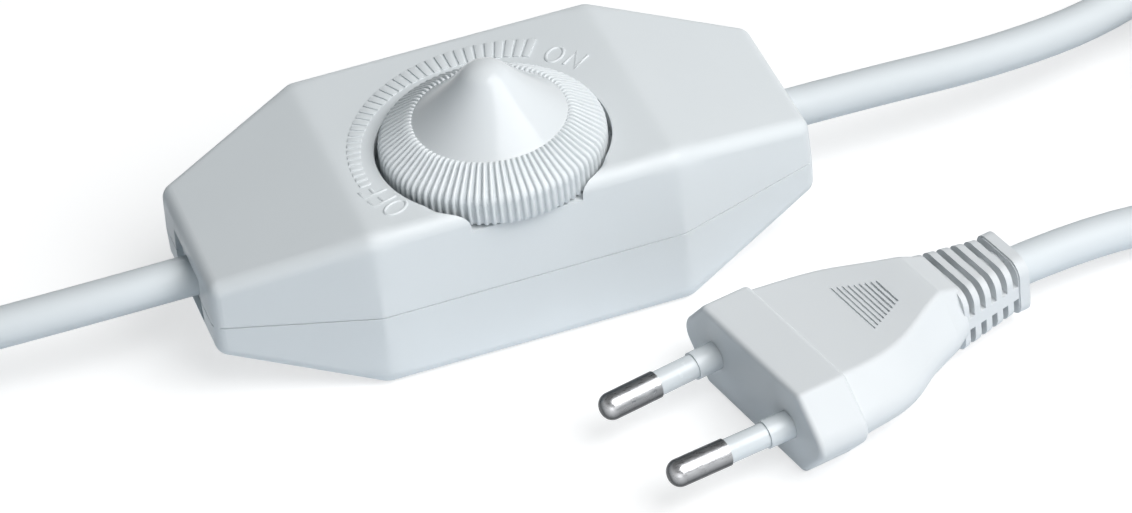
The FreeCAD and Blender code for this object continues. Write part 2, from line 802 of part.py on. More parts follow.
def plug_cord_route():
    x, y = supply_coil_centre
    outer_turn = supply_coil_outer_radius - cord_radius
    start = plug_point(relief_end, 0, plug_height / 2)
    return [start, (78.2, -38.2, 6.2), (95.0, -38.6, 4.0), (108.0, -43.5, 3.0), (119.0, -51.2, 3.0),
            (130.5, -57.5, 3.0), (x, y - outer_turn, 3.0)]


def lamp_cord_route():
    x, y = lamp_coil_centre
    outer_turn = lamp_coil_outer_radius - cord_radius
    return [(-sheath_end_x, 0, parting_height), (-54.0, 0, 12.45), (-74.0, 0.5, 12.2), (-94.0, 3.0, 10.7),
            (-113.0, 7.4, 9.4), (x, y + outer_turn, 9.0)]


def lamp_tail_points():
    x, y = lamp_coil_centre
    outer_turn = lamp_coil_outer_radius - cord_radius
    return (x, y - outer_turn), (x + lamp_tail_length, y - outer_turn)


def make_lamp_tail():
    """The lead's last stretch, which leaves the coil along X."""
    start, end = lamp_tail_points()
    return Part.makeCylinder(cord_radius, end[0] - start[0], Vec(start[0], start[1], cord_radius),
                             Vec(1, 0, 0))


def lamp_end_pieces():
    """Two stripped cores past the sheath, each with a crimped ferrule."""
    end = lamp_tail_points()[1]
    core_bodies = []
    ferrules = []
    for side in (-1, 1):
        y = end[1] + side * (core_radius + bare_core_spread)
        start = Vec(end[0], y, cord_radius)
        core_bodies.append(Part.makeCylinder(core_radius, bare_core_length, start, Vec(1, 0, 0)))
        ferrule_start = start + Vec(bare_core_length, 0, 0)
        ferrules.append(Part.makeCylinder(ferrule_radius, ferrule_length, ferrule_start, Vec(1, 0, 0)))
    return Part.makeCompound(core_bodies), Part.makeCompound(ferrules)


# Plug

def plug_point(u, w, z):
    turn = math.radians(plug_heading_deg)
    x = plug_face[0] + u * math.cos(turn) - w * math.sin(turn)
    y = plug_face[1] + u * math.sin(turn) + w * math.cos(turn)
    return x, y, z


def place_plug(shape):
    shape.rotate(Vec(0, 0, 0), Vec(0, 0, 1), plug_heading_deg)
    shape.translate(Vec(plug_face[0], plug_face[1], plug_height / 2))
    return shape


def rounded_outline(corners, radii):
    """A closed outline of straight runs with an arc at every corner."""
    arcs = []
    for index, (corner, radius) in enumerate(zip(corners, radii)):
        to_before = (corners[index - 1] - corner).normalize()
        to_after = (corners[(index + 1) % len(corners)] - corner).normalize()
        half_angle = to_before.getAngle(to_after) / 2
        reach = radius / math.tan(half_angle)
        inward = (to_before + to_after).normalize()
        middle = corner + inward * (radius / math.sin(half_angle) - radius)
        arcs.append((corner + to_before * reach, middle, corner + to_after * reach))
    edges = []
    for arc, following in zip(arcs, arcs[1:] + arcs[:1]):
        edges.append(Part.Arc(*arc).toShape())
        edges.append(Part.LineSegment(arc[2], following[0]).toShape())
    return Part.Wire(edges)


def plug_outline(u, half_width, half_height, half_flat):
    """A flat-topped hexagon across u whose rounded sides reach half_width."""
    steep = math.atan2(half_height, half_width - half_flat)
    corner_w = half_width + plug_side_rounding * (1 / math.sin(steep) - 1)
    points = [(corner_w, 0), (half_flat, half_height), (-half_flat, half_height),
              (-corner_w, 0), (-half_flat, -half_height), (half_flat, -half_height)]
    side, top = plug_side_rounding, plug_top_rounding
    return rounded_outline([Vec(u, w, z) for w, z in points], [side, top, top, side, top, top])


def rounded_box(u_low, u_high, widths, heights):
    """A tapered box along u with its long edges rounded."""
    wires = []
    for u, width, height in zip((u_low, u_high), widths, heights):
        corners = [Vec(u, sw * width / 2, sz * height / 2)
                   for sw, sz in ((-1, -1), (1, -1), (1, 1), (-1, 1))]
        wires.append(rounded_outline(corners, [relief_rounding] * 4))
    return Part.makeLoft(wires, True, True)


def relief_slot_cuts():
    """Slots round the relief, broken by its core and by a spine along each side."""
    pitch = (relief_end - relief_start - relief_collar_size[0]) / relief_slots
    cuts = []
    for index in range(relief_slots):
        u = relief_start + relief_first_rib + index * pitch
        slab = box(u, u + relief_slot_width, -plug_width, plug_width, -plug_height, plug_height)
        core = Part.makeCylinder(relief_core_radius, relief_slot_width + 2 * spill, Vec(u - spill, 0, 0),
                                 Vec(1, 0, 0))
        spine = box(u - spill, u + relief_slot_width + spill, -plug_width, plug_width,
                    -relief_spine / 2, relief_spine / 2)
        cuts.append(slab.cut([core, spine]))
    return cuts


def grip_lines():
    """Fine grooves across the flat top and bottom, shorter towards the cord."""
    cuts = []
    wide, narrow = grip_line_half_widths
    for index in range(grip_line_count):
        u = grip_line_start + index * grip_line_pitch
        reach = wide + (narrow - wide) * index / (grip_line_count - 1)
        for z_low, z_high in ((grip_line_floor, plug_height), (-plug_height, -grip_line_floor)):
            cuts.append(box(u, u + grip_line_width, -reach, reach, z_low, z_high))
    return cuts


def make_plug_body():
    flange = Part.Face(plug_outline(0, plug_width / 2, plug_height / 2, plug_flat_width / 2))
    flange = flange.extrude(Vec(flange_depth, 0, 0))
    rims = [edge for edge in flange.Edges if edge.BoundBox.XLength < flange_edge_radius]
    flange = flange.makeFillet(flange_edge_radius, rims)
    body = Part.makeLoft([plug_outline(*section) for section in plug_body_sections], True, False)
    neck = Part.makeLoft([plug_outline(*plug_body_sections[-1]), plug_outline(*neck_section)], True, True)
    relief = rounded_box(relief_start, relief_end, relief_widths, relief_heights)
    collar_length, collar_width, collar_height = relief_collar_size
    collar = rounded_box(relief_end - collar_length, relief_end, (collar_width, collar_width),
                         (collar_height, collar_height))
    plug = flange.fuse([body, neck, relief.cut(relief_slot_cuts()), collar])
    rooms = []
    for side in (-1, 1):
        rooms.append(pin_cylinder(side, pin_neck_radius + seat_clearance, -spill, pin_root))
        rooms.append(pin_cylinder(side, sleeve_collar_radius + seat_clearance, -spill, sleeve_root))
    return place_plug(plug.cut(rooms + grip_lines()))


def pin_cylinder(side, radius, depth_out, depth_in):
    """A cylinder on a pin's axis, from depth_out behind the face plane's outside to depth_in inside.

    Distances run along u from the face; negative values are outside the plug."""
    lean = (pin_pitch_face - pin_pitch_tip) / 2 / pin_length
    direction = Vec(1, side * lean, 0).normalize()
    base = Vec(0, side * pin_pitch_face / 2, 0) + direction * depth_out
    return Part.makeCylinder(radius, depth_in - depth_out, base, direction)


def make_plug_pins():
    pins = []
    for side in (-1, 1):
        neck = pin_cylinder(side, pin_neck_radius, -(pin_length - pin_metal_length) - spill, pin_root)
        tip = pin_cylinder(side, pin_radius, -pin_length, -(pin_length - pin_metal_length))
        end_edge = min(tip.Edges, key=lambda edge: edge.BoundBox.Center.x)
        tip = tip.makeFillet(pin_end_rounding, [end_edge])
        pins.append(neck.fuse(tip))
    return place_plug(Part.makeCompound(pins))


def make_pin_sleeves():
    sleeves = []
    for side in (-1, 1):
        sleeve = pin_cylinder(side, sleeve_radius, -(pin_length - pin_metal_length), 0)
        collar = pin_cylinder(side, sleeve_collar_radius, -sleeve_collar_length, sleeve_root)
        hole = pin_cylinder(side, pin_neck_radius + seat_clearance / 2, -pin_length, pin_root)
        sleeves.append(sleeve.fuse(collar).cut(hole))
    return place_plug(Part.makeCompound(sleeves))


os.makedirs("parts", exist_ok=True)
save("upper_shell", make_upper_shell())
save("lower_shell", make_lower_shell())
save("knob", make_knob())
save("potentiometer", make_potentiometer())
save("potentiometer_shaft", make_potentiometer_shaft())
save("circuit_board", make_circuit_board())
save("supply_terminal", make_terminal(1))
save("lamp_terminal", make_terminal(-1))
save("terminal_screws", make_terminal_screws())
save("heat_sink", make_heat_sink())
save("triac", make_triac())
save("triac_bolt", make_triac_bolt())
choke_core, choke_winding = make_choke()
save("choke_core", choke_core)
save("choke_winding", choke_winding)
save("film_capacitor", make_block_part(film_capacitor_place, film_capacitor_size))
save("timing_capacitor", make_block_part(timing_capacitor_place, timing_capacitor_size))
save("resistors", make_resistors())
save("diac", make_diac())
save("fuse", make_fuse())
save("cord_grips", make_cord_grips())
save("grip_screws", make_grip_screws())
save("housing_screws", make_housing_screws())
save("board_screws", make_board_screws())
save("supply_cores", cores(1))
save("lamp_cores", cores(-1))
save("supply_cord", cord_tube("supply cord", supply_cord_route()))
save("supply_coil", coil(supply_coil_centre, supply_coil_outer_radius, supply_coil_turns))
save("plug_cord", cord_tube("plug cord", plug_cord_route()))
save("lamp_cord", cord_tube("lamp cord", lamp_cord_route()))
save("lamp_coil", coil(lamp_coil_centre, lamp_coil_outer_radius, lamp_coil_turns))
save("lamp_cord_tail", make_lamp_tail())
lamp_end_cores, lamp_end_ferrules = lamp_end_pieces()
save("lamp_end_cores", lamp_end_cores)
save("lamp_end_ferrules", lamp_end_ferrules)
save("plug_body", make_plug_body())
save("plug_pins", make_plug_pins())
save("pin_sleeves", make_pin_sleeves())
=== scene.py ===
import json
import math

import bmesh
import bpy
from mathutils import Matrix, Vector


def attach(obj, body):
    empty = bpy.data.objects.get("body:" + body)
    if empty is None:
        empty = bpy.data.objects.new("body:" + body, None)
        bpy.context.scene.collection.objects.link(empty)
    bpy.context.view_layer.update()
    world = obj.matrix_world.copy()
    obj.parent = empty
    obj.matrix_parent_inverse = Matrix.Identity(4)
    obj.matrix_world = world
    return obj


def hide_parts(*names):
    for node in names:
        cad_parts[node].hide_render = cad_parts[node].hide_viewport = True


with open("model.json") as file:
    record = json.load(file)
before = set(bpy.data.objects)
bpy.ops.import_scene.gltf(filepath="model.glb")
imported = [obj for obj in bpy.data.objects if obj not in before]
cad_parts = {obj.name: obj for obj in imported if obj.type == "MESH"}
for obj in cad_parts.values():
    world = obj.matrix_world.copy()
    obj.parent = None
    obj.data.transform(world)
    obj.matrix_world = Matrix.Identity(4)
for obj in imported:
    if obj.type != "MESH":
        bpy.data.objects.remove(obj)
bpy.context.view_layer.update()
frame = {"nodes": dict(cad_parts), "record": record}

MM = 0.001

# The camera, at the photograph's viewing angle
camera_azimuth_deg = -14.703
camera_elevation_deg = 38.158
camera_roll_deg = -6.546
camera_distance_mm = 786.454
camera_right_mm = 9.943
camera_up_mm = 0.505
camera_lens_mm = 172.677

# Sizes shared with the frame, in millimetres
cord_radius = 3.0
knob_axis_y = -6.1
housing_top = 26.1
parting_height = 12.5

# The leads' routes outside their coils
supply_route = [(35.8, 0, 12.5), (56, 0, 12.4), (78, 0.8, 10.8), (99, 5.2, 9.4), (121.5, 17.5, 9),
                (143, 24, 9)]
plug_route = [(62.98, -41.59, 6.85), (78.2, -38.2, 6.2), (95, -38.6, 4), (108, -43.5, 3), (119, -51.2, 3),
              (130.5, -57.5, 3), (143, -60, 3)]
lamp_route = [(-35.8, 0, 12.5), (-54, 0, 12.45), (-74, 0.5, 12.2), (-94, 3, 10.7), (-113, 7.4, 9.4),
              (-131, 11, 9)]
lamp_tail = [(-131, -61, 3), (-121, -61.2, 3), (-110.5, -61, 3)]
supply_coil_centre = (143, -18)
supply_coil_radii = (42, 24)
supply_coil_turns = 6.5
lamp_coil_centre = (-131, -25)
lamp_coil_radii = (36, 30)
lamp_coil_turns = 2.5
turn_pitch = 6.0
low_turn_height = 3.0
top_turn_height = 9.0
change_turns = 0.35
points_per_turn = 24
cord_points_per_span = 6
cord_quarter_points = 6

# Knob
knob_foot_height = 23.5
skirt_radius = 15.75
skirt_top_height = 27.5
shoulder_rounding = 1.4
shoulder_steps = 5
skirt_side_heights = (25.2, 26.8)
skirt_top_radii = (14.6, 13.6, 12.6)
foot_rounding = 0.15
foot_rib_share = 0.7
cone_start = (11.05, 30.61)
knob_tip_height = 39.5
knob_tip_radius = 4.6
knob_tip_angle_deg = 50.0
cone_steps = 14
tip_steps = 8
rib_count = 90
rib_depth = 0.55
rib_width_outside = 0.68
rib_width_inside = 0.5
rib_end_length = 0.7
rib_end_steps = (0.75, 0.5, 0.27, 0.1, 0.0)
rib_samples = (-0.5, -0.42, -0.25, 0.0, 0.25, 0.42, 0.5)
rib_roundness = 2.5
bore_radius = 3.05
bore_flat = 1.55
bore_top_height = 33.05
boss_radius = 5.2
boss_foot_height = 23.7
boss_root_height = 32.2
hollow_below_cone = (9.7, 29.2)
hollow_below_skirt = (13.95, 26.6)
knob_sharp_deg = 62

# The knob's pocket, whose flare the crisp rim fills except near the front
pocket_radius = 16.9
pocket_flare = 0.9
rim_edge = 0.08
rim_sink = 0.02
rim_overlap = 0.1
rim_steps_out = 5
rim_steps_round = 260
rim_foot_height = 24.6
rim_start_deg = -46.0
rim_end_deg = 226.0
rim_fade_deg = 9.0

# Scale beside the knob, whose ticks change from OFF to ON
tick_count = 34
tick_start_deg = 186.0
tick_end_deg = 58.0
tick_height = 0.24
tick_height_share_at_off = 0.6
tick_sink = 0.15
tick_edge = 0.12
tick_inner_at_off = 18.9
tick_inner_dip = 0.6
tick_inner_rise = 1.4
tick_outer_at_off = 20.6
tick_outer_rise = 3.4
tick_share_at_off = 0.6
tick_share_rise = 0.14
letter_height = 3.5
stroke_radius = 0.28
stroke_sink = 0.1
o_half_width = 1.15
o_height_share = 1.04
o_steps = 48
f_stem_offset = -0.75
f_top_reach = 0.85
f_middle_reach = 0.6
f_middle_height = 0.1
n_half_width = 1.0
small_piece_sharp_deg = 40

# Letters, each with its radius and angle about the knob
off_letters = (("O", 19.4, -152.6), ("F", 19.4, -161.3), ("F", 19.45, -168.2))
on_letters = (("O", 21.2, 46.9), ("N", 21.2, 37.6))

# The housing's ridges between its top and its ends, whose shading is rounded
ridge_x = 22.6
ridge_reach = 5.0
ridge_rounding = 2.6

# Colours of the plastics
housing_colour = (0.725, 0.755, 0.77)
knob_colour = (0.745, 0.775, 0.79)
knob_gloss_colour = (0.72, 0.745, 0.76)
cord_colour = (0.665, 0.7, 0.72)
plug_colour = (0.695, 0.715, 0.728)

# Stage, in metres for the floor and the lamps: each lamp's direction, distance, size and level
floor_gap = 0.05 * MM
floor_reach = 3.0
floor_shown_albedo = 0.45
floor_glow = 0.66
floor_bounce_colour = (0.66, 0.72, 0.78)
soft_light_colour = (0.55, 0.85, 1.0)
soft_light_level = 0.07
room_white_below = 0.3
room_grey_above = 0.62
room_grey_level = 0.3
key_lamp = ((0.42, -0.48, 0.8), 1.4, 1.1, 1.22)
fill_lamp = ((-0.4, -1.0, 0.15), 1.5, 1.0, 0.17)


def metres(points):
    return [Vector(point) * MM for point in points]


def smooth(t):
    t = min(max(t, 0.0), 1.0)
    return t * t * (3 - 2 * t)


# Cords

def coil_turns(centre, radii, turns, clockwise):
    """Turns that start at the north of the coil on its top layer, go in, drop, and come out below."""
    outer, inner = radii
    layer = (outer - inner) / turn_pitch
    count = round(turns * points_per_turn)
    points = []
    for index in range(1, count):
        t = index * turns / count
        if t < layer:
            radius = outer - turn_pitch * t
        elif t < layer + change_turns:
            radius = inner
        else:
            radius = min(outer, inner + turn_pitch * (t - layer - change_turns))
        drop = smooth((t - layer) / change_turns)
        height = top_turn_height + (low_turn_height - top_turn_height) * drop
        sign = -1 if clockwise else 1
        angle = math.pi / 2 + sign * 2 * math.pi * t
        points.append((centre[0] + radius * math.cos(angle), centre[1] + radius * math.sin(angle), height))
    return points


def make_cord(name, points):
    curve = bpy.data.curves.new(name, "CURVE")
    curve.dimensions = "3D"
    spline = curve.splines.new("NURBS")
    spline.points.add(len(points) - 1)
    for control, point in zip(spline.points, metres(points)):
        control.co = (*point, 1)
        control.radius = cord_radius * MM
    spline.order_u = 3
    spline.use_endpoint_u = True
    spline.resolution_u = cord_points_per_span
    curve.bevel_depth = 1.0
    curve.bevel_resolution = cord_quarter_points
    curve.use_fill_caps = True
    cord = bpy.data.objects.new(name, curve)
    bpy.context.scene.collection.objects.link(cord)
    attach(cord, "housing")
    return cord


def make_cords():
    supply_points = supply_route + coil_turns(supply_coil_centre, supply_coil_radii, supply_coil_turns, True)
    supply = make_cord("supply_lead", supply_points + plug_route[::-1])
    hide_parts("supply_cord", "supply_coil", "plug_cord")
    lamp_points = lamp_route + coil_turns(lamp_coil_centre, lamp_coil_radii, lamp_coil_turns, False)
    lamp = make_cord("lamp_lead", lamp_points + lamp_tail)
    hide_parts("lamp_cord", "lamp_coil", "lamp_cord_tail")
    return [supply, lamp]


# Meshes

def finish_piece(name, bm, body, materials, sharp_deg):
    """A mesh object from bm, smooth except over edges sharper than sharp_deg."""
    bmesh.ops.recalc_face_normals(bm, faces=bm.faces)
    mesh = bpy.data.meshes.new(name)
    bm.to_mesh(mesh)
    bm.free()
    for polygon in mesh.polygons:
        polygon.use_smooth = True
    mesh.set_sharp_from_angle(angle=math.radians(sharp_deg))
    for material in materials:
        mesh.materials.append(material)
    piece = bpy.data.objects.new(name, mesh)
    bpy.context.scene.collection.objects.link(piece)
    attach(piece, body)
    return piece


def arc_rows(start, end, start_slope_deg, end_slope_deg, count):
    """Points from start to end along a curve whose slope turns evenly from one angle to the other."""
    steps = []
    for index in range(count):
        slope = math.radians(start_slope_deg + (end_slope_deg - start_slope_deg) * (index + 0.5) / count)
        steps.append((-math.cos(slope), math.sin(slope)))
    run = sum(step[0] for step in steps)
    rise = sum(step[1] for step in steps)
    scale_r = (end[0] - start[0]) / run
    scale_z = (end[1] - start[1]) / rise
    points = []
    r, z = start
    for step in steps:
        r += step[0] * scale_r
        z += step[1] * scale_z
        points.append((r, z))
    return points


def skirt_rows():
    """Rows of the ribbed skirt from its foot to the ribs' inner ends: r, z, normal angle, rib depth."""
    slope = math.atan2(cone_start[1] - skirt_top_height, skirt_radius - cone_start[0])
    top_normal = math.pi / 2 - slope
    rows = [(skirt_radius, knob_foot_height, 0.0, foot_rib_share * rib_depth)]
    rows += [(skirt_radius, knob_foot_height + foot_rounding, 0.0, rib_depth)]
    rows += [(skirt_radius, z, 0.0, rib_depth) for z in skirt_side_heights]
    centre_r = skirt_radius - shoulder_rounding
    centre_z = skirt_top_height - shoulder_rounding * math.tan(top_normal / 2)
    for index in range(shoulder_steps + 1):
        normal = top_normal * index / shoulder_steps
        rows.append((centre_r + shoulder_rounding * math.cos(normal),
                     centre_z + shoulder_rounding * math.sin(normal), normal, rib_depth))
    start_r, start_z = rows[-1][0], rows[-1][1]
    end_r, end_z = cone_start
    for radius in skirt_top_radii + (cone_start[0] + rib_end_length,):
        t = (start_r - radius) / (start_r - end_r)
        rows.append((radius, start_z + (end_z - start_z) * t, top_normal, rib_depth))
    for step in rib_end_steps:
        radius = cone_start[0] + rib_end_length * step
        t = (start_r - radius) / (start_r - end_r)
        depth = rib_depth * math.sqrt(1 - (1 - step) ** 2)
        rows.append((radius, start_z + (end_z - start_z) * t, top_normal, depth))
    return rows


def rib_height(sample):
    """The share of a rib's full height at a place from -0.5 to 0.5 across it."""
    return (1 - min(1.0, abs(2 * sample)) ** rib_roundness) ** (1 / rib_roundness)


def ribbed_ring(row):
    """One ring of points over all the ribs, each rib a rounded bar on the skirt."""
    radius, z, normal, depth = row
    reach = (radius - cone_start[0]) / (skirt_radius - cone_start[0])
    width = rib_width_inside + (rib_width_outside - rib_width_inside) * reach
    ring = []
    for rib in range(rib_count):
        middle = 2 * math.pi * rib / rib_count
        for sample in rib_samples + (None,):
            if sample is None:
                angle, height = middle + math.pi / rib_count, 0.0
            else:
                angle, height = middle + sample * width / radius, depth * rib_height(sample)
            r = radius + height * math.cos(normal)
            ring.append((r, angle, z + height * math.sin(normal)))
    return ring


def plain_ring(angles, r, z):
    return [(r, angle, z) for angle in angles]


def bore_ring(angles, z):
    """A round bore with a flat on its +Y side."""
    ring = []
    for angle in angles:
        rise = math.sin(angle)
        r = min(bore_radius, bore_flat / rise) if rise > 0 else bore_radius
        ring.append((r, angle, z))
    return ring


def make_knob(gloss, satin):
    """A glossy hollow cone over a skirt of rounded ribs, with a bored boss below."""
    rows = skirt_rows()
    skirt = [ribbed_ring(row) for row in rows]
    angles = [point[1] for point in skirt[-1]]
    tip_angle = math.radians(knob_tip_angle_deg)
    tip_centre = knob_tip_height - knob_tip_radius
    tip_edge = (knob_tip_radius * math.sin(tip_angle), tip_centre + knob_tip_radius * math.cos(tip_angle))
    chord_deg = math.degrees(math.atan2(tip_edge[1] - cone_start[1], cone_start[0] - tip_edge[0]))
    foot_slope_deg = 2 * chord_deg - knob_tip_angle_deg
    flank = arc_rows(cone_start, tip_edge, foot_slope_deg, knob_tip_angle_deg, cone_steps)
    tip = []
    for index in range(tip_steps - 1, 0, -1):
        angle = tip_angle * index / tip_steps
        tip.append((knob_tip_radius * math.sin(angle), tip_centre + knob_tip_radius * math.cos(angle)))
    hollow = [(boss_radius, boss_foot_height), (boss_radius, boss_root_height), hollow_below_cone,
              hollow_below_skirt, (hollow_below_skirt[0], knob_foot_height)]
    rings = [bore_ring(angles, bore_top_height), bore_ring(angles, boss_foot_height)]
    rings += [plain_ring(angles, r, z) for r, z in hollow]
    first_skirt = len(rings)
    rings += skirt
    first_cone = len(rings)
    rings += [plain_ring(angles, r, z) for r, z in flank + tip]
    bm = bmesh.new()
    made = [[bm.verts.new(Vector((r * math.cos(a), knob_axis_y + r * math.sin(a), z)) * MM)
             for r, a, z in ring] for ring in rings]
    count = len(angles)
    for level, (low, high) in enumerate(zip(made, made[1:])):
        ribbed = first_skirt <= level + 1 < first_cone
        for index in range(count):
            following = (index + 1) % count
            face = bm.faces.new((low[index], low[following], high[following], high[index]))
            face.material_index = 1 if ribbed or level < first_skirt else 0
    for ring, z in ((made[0], bore_top_height), (made[-1], knob_tip_height)):
        pole = bm.verts.new(Vector((0, knob_axis_y, z)) * MM)
        for index in range(count):
            bm.faces.new((ring[index], ring[(index + 1) % count], pole))
    knob = finish_piece("knob_cap", bm, "knob", (gloss, satin), knob_sharp_deg)
    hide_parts("knob")


def make_pocket_rim(material):
    """The pocket's crisp inner edge, which fades out where the pocket opens through the front wall."""
    bm = bmesh.new()
    rows = []
    for index in range(rim_steps_round + 1):
        angle_deg = rim_start_deg + (rim_end_deg - rim_start_deg) * index / rim_steps_round
        ends = min(angle_deg - rim_start_deg, rim_end_deg - angle_deg)
        fill = smooth(ends / rim_fade_deg)
        row = [(pocket_radius, rim_foot_height),
               (pocket_radius + pocket_flare + rim_overlap, rim_foot_height)]
        for level in range(rim_steps_out, -1, -1):
            out = pocket_flare * level / rim_steps_out
            flare = housing_top - pocket_flare + math.sqrt(pocket_flare ** 2 - (pocket_flare - out) ** 2)
            crisp = housing_top - rim_edge * (1 - min(1.0, out / (3 * rim_edge))) ** 2
            sunk = flare - rim_sink
            row.append((pocket_radius + out, sunk + (crisp - sunk) * fill))
        rows.append([bm.verts.new(polar(r, angle_deg, z)) for r, z in row])
    for first, second in zip(rows, rows[1:]):
        for index in range(len(first)):
            following = (index + 1) % len(first)
            bm.faces.new((first[index], first[following], second[following], second[index]))
    bm.faces.new(rows[0])
    bm.faces.new(rows[-1][::-1])
    finish_piece("pocket_rim", bm, "housing", (material,), small_piece_sharp_deg)


def polar(radius, angle_deg, z):
    """A point about the knob's axis, in metres."""
    angle = math.radians(angle_deg)
    return Vector((radius * math.cos(angle), knob_axis_y + radius * math.sin(angle), z)) * MM


def make_ticks(material):
    """Raised plates round the knob, from low and short at OFF to high and long at ON."""
    bm = bmesh.new()
    for index in range(tick_count):
        t = index / (tick_count - 1)
        middle = tick_start_deg + (tick_end_deg - tick_start_deg) * t
        inner = tick_inner_at_off - tick_inner_dip * t + tick_inner_rise * t ** 3
        outer = tick_outer_at_off + tick_outer_rise * t ** 2
        share = tick_share_at_off + tick_share_rise * smooth(t * 1.5)
        full = tick_height_share_at_off
        rise = tick_height * (full + (1 - full) * smooth(t * 2.5))
        half_deg = (tick_start_deg - tick_end_deg) / (tick_count - 1) * share / 2
        outline = [(inner, middle - half_deg), (outer, middle - half_deg),
                   (outer, middle + half_deg), (inner, middle + half_deg)]
        low = [bm.verts.new(polar(r, a, housing_top - tick_sink)) for r, a in outline]
        high = [bm.verts.new(polar(r, a, housing_top + rise)) for r, a in outline]
        top = bm.faces.new(high)
        bm.faces.new(low[::-1])
        sides = [bm.faces.new((low[i], low[(i + 1) % 4], high[(i + 1) % 4], high[i])) for i in range(4)]
        rims = list(top.edges) + [edge for face in sides for edge in face.edges
                                  if abs((edge.verts[0].co - edge.verts[1].co).z) > 0.1 * MM]
        bmesh.ops.bevel(bm, geom=list(set(rims)), offset=tick_edge * MM, segments=2, profile=0.5,
                        affect="EDGES")
    finish_piece("scale_ticks", bm, "housing", (material,), small_piece_sharp_deg)


def add_stroke(curve, points, cyclic=False):
    spline = curve.splines.new("POLY")
    spline.points.add(len(points) - 1)
    for control, point in zip(spline.points, points):
        control.co = (*point, 1)
        control.radius = stroke_radius * MM
    spline.use_cyclic_u = cyclic


def letter_strokes(letter):
    """The strokes of one letter as points across and up, in millimetres about its middle."""
    top = letter_height / 2
    if letter == "O":
        turns = [2 * math.pi * index / o_steps for index in range(o_steps)]
        return [([(o_half_width * math.cos(turn), o_height_share * top * math.sin(turn))
                  for turn in turns], True)]
    if letter == "F":
        return [([(f_stem_offset, -top), (f_stem_offset, top), (f_top_reach, top)], False),
                ([(f_stem_offset, f_middle_height), (f_middle_reach, f_middle_height)], False)]
    side = n_half_width
    return [([(-side, -top), (-side, top), (side, -top), (side, top)], False)]


def make_word(name, letters, material):
    """A word of raised strokes round the knob, read clockwise with its tops outward."""
    curve = bpy.data.curves.new(name, "CURVE")
    curve.dimensions = "3D"
    curve.bevel_depth = 1.0
    curve.bevel_resolution = 4
    curve.use_fill_caps = True
    for letter, radius, angle_deg in letters:
        angle = math.radians(angle_deg)
        outward = Vector((math.cos(angle), math.sin(angle), 0))
        across = Vector((math.sin(angle), -math.cos(angle), 0))
        middle = Vector((0, knob_axis_y, housing_top - stroke_sink)) + outward * radius
        for points, cyclic in letter_strokes(letter):
            add_stroke(curve, [(middle + across * u + outward * v) * MM for u, v in points], cyclic)
    word = bpy.data.objects.new(name, curve)
    bpy.context.scene.collection.objects.link(word)
    word.data.materials.append(material)
    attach(word, "housing")


# Materials

def new_material(name, colour, roughness, metallic=0.0, specular=0.5):
    material = bpy.data.materials.new(name)
    material.use_nodes = True
    shader = material.node_tree.nodes["Principled BSDF"]
    shader.inputs["Base Color"].default_value = (*colour, 1)
    shader.inputs["Roughness"].default_value = roughness
    shader.inputs["Metallic"].default_value = metallic
    shader.inputs["Specular IOR Level"].default_value = specular
    return material, material.node_tree, shader


def add_node(tree, kind, links=None, **values):
    """A shader node with its properties and unlinked inputs set, and its other inputs linked."""
    node = tree.nodes.new(kind)
    for key, value in values.items():
        setattr(node, key, value)
    for key, source in (links or {}).items():
        if isinstance(source, bpy.types.NodeSocket):
            tree.links.new(source, node.inputs[key])
        else:
            node.inputs[key].default_value = source
    return node


def coordinates(tree, stretch=(1, 1, 1)):
    source = tree.nodes.new("ShaderNodeTexCoord")
    mapping = add_node(tree, "ShaderNodeMapping", {"Vector": source.outputs["Object"], "Scale": stretch})
    return mapping.outputs["Vector"]


def noise(tree, vector, scale, detail=2.0):
    node = add_node(tree, "ShaderNodeTexNoise", {"Vector": vector, "Scale": scale, "Detail": detail})
    return node.outputs["Fac"]


def spread(tree, value, low, high):
    """The value's usual range, 0.3 to 0.7, moved to low and high."""
    node = add_node(tree, "ShaderNodeMapRange", {"Value": value, "From Min": 0.3, "From Max": 0.7,
                                                 "To Min": low, "To Max": high})
    return node.outputs["Result"]


def two_colours(tree, factor, first, second):
    node = add_node(tree, "ShaderNodeMix", None, data_type="RGBA")
    tree.links.new(factor, node.inputs["Factor"])
    colour_inputs = [socket for socket in node.inputs if socket.type == "RGBA"]
    colour_inputs[0].default_value = (*first, 1)
    colour_inputs[1].default_value = (*second, 1)
    return [socket for socket in node.outputs if socket.type == "RGBA"][0]


def add_bump(tree, shader, height, strength, distance_mm):
    bump = add_node(tree, "ShaderNodeBump", {"Height": height, "Strength": strength,
                                             "Distance": distance_mm * MM})
    tree.links.new(bump.outputs["Normal"], shader.inputs["Normal"])
    return bump


def plastic(name, colour, roughness, grain_mm=0.25, grain=0.25, tint=0.02, stretch=(1, 1, 1), specular=0.5):
    """Moulded plastic: a faint drift of tone, uneven gloss, and a fine grain in its surface."""
    material, tree, shader = new_material(name, colour, roughness, specular=specular)
    vector = coordinates(tree, stretch)
    drift = noise(tree, vector, 45.0)
    paler = tuple(min(1.0, c * (1 + tint)) for c in colour)
    darker = tuple(c * (1 - tint) for c in colour)
    tree.links.new(two_colours(tree, drift, darker, paler), shader.inputs["Base Color"])
    cloud = noise(tree, vector, 260.0, 3.0)
    tree.links.new(spread(tree, cloud, roughness * 0.9, roughness * 1.12), shader.inputs["Roughness"])
    fine = noise(tree, vector, 1000.0 / grain_mm, 2.0)
    add_bump(tree, shader, fine, grain, 0.012)
    return material


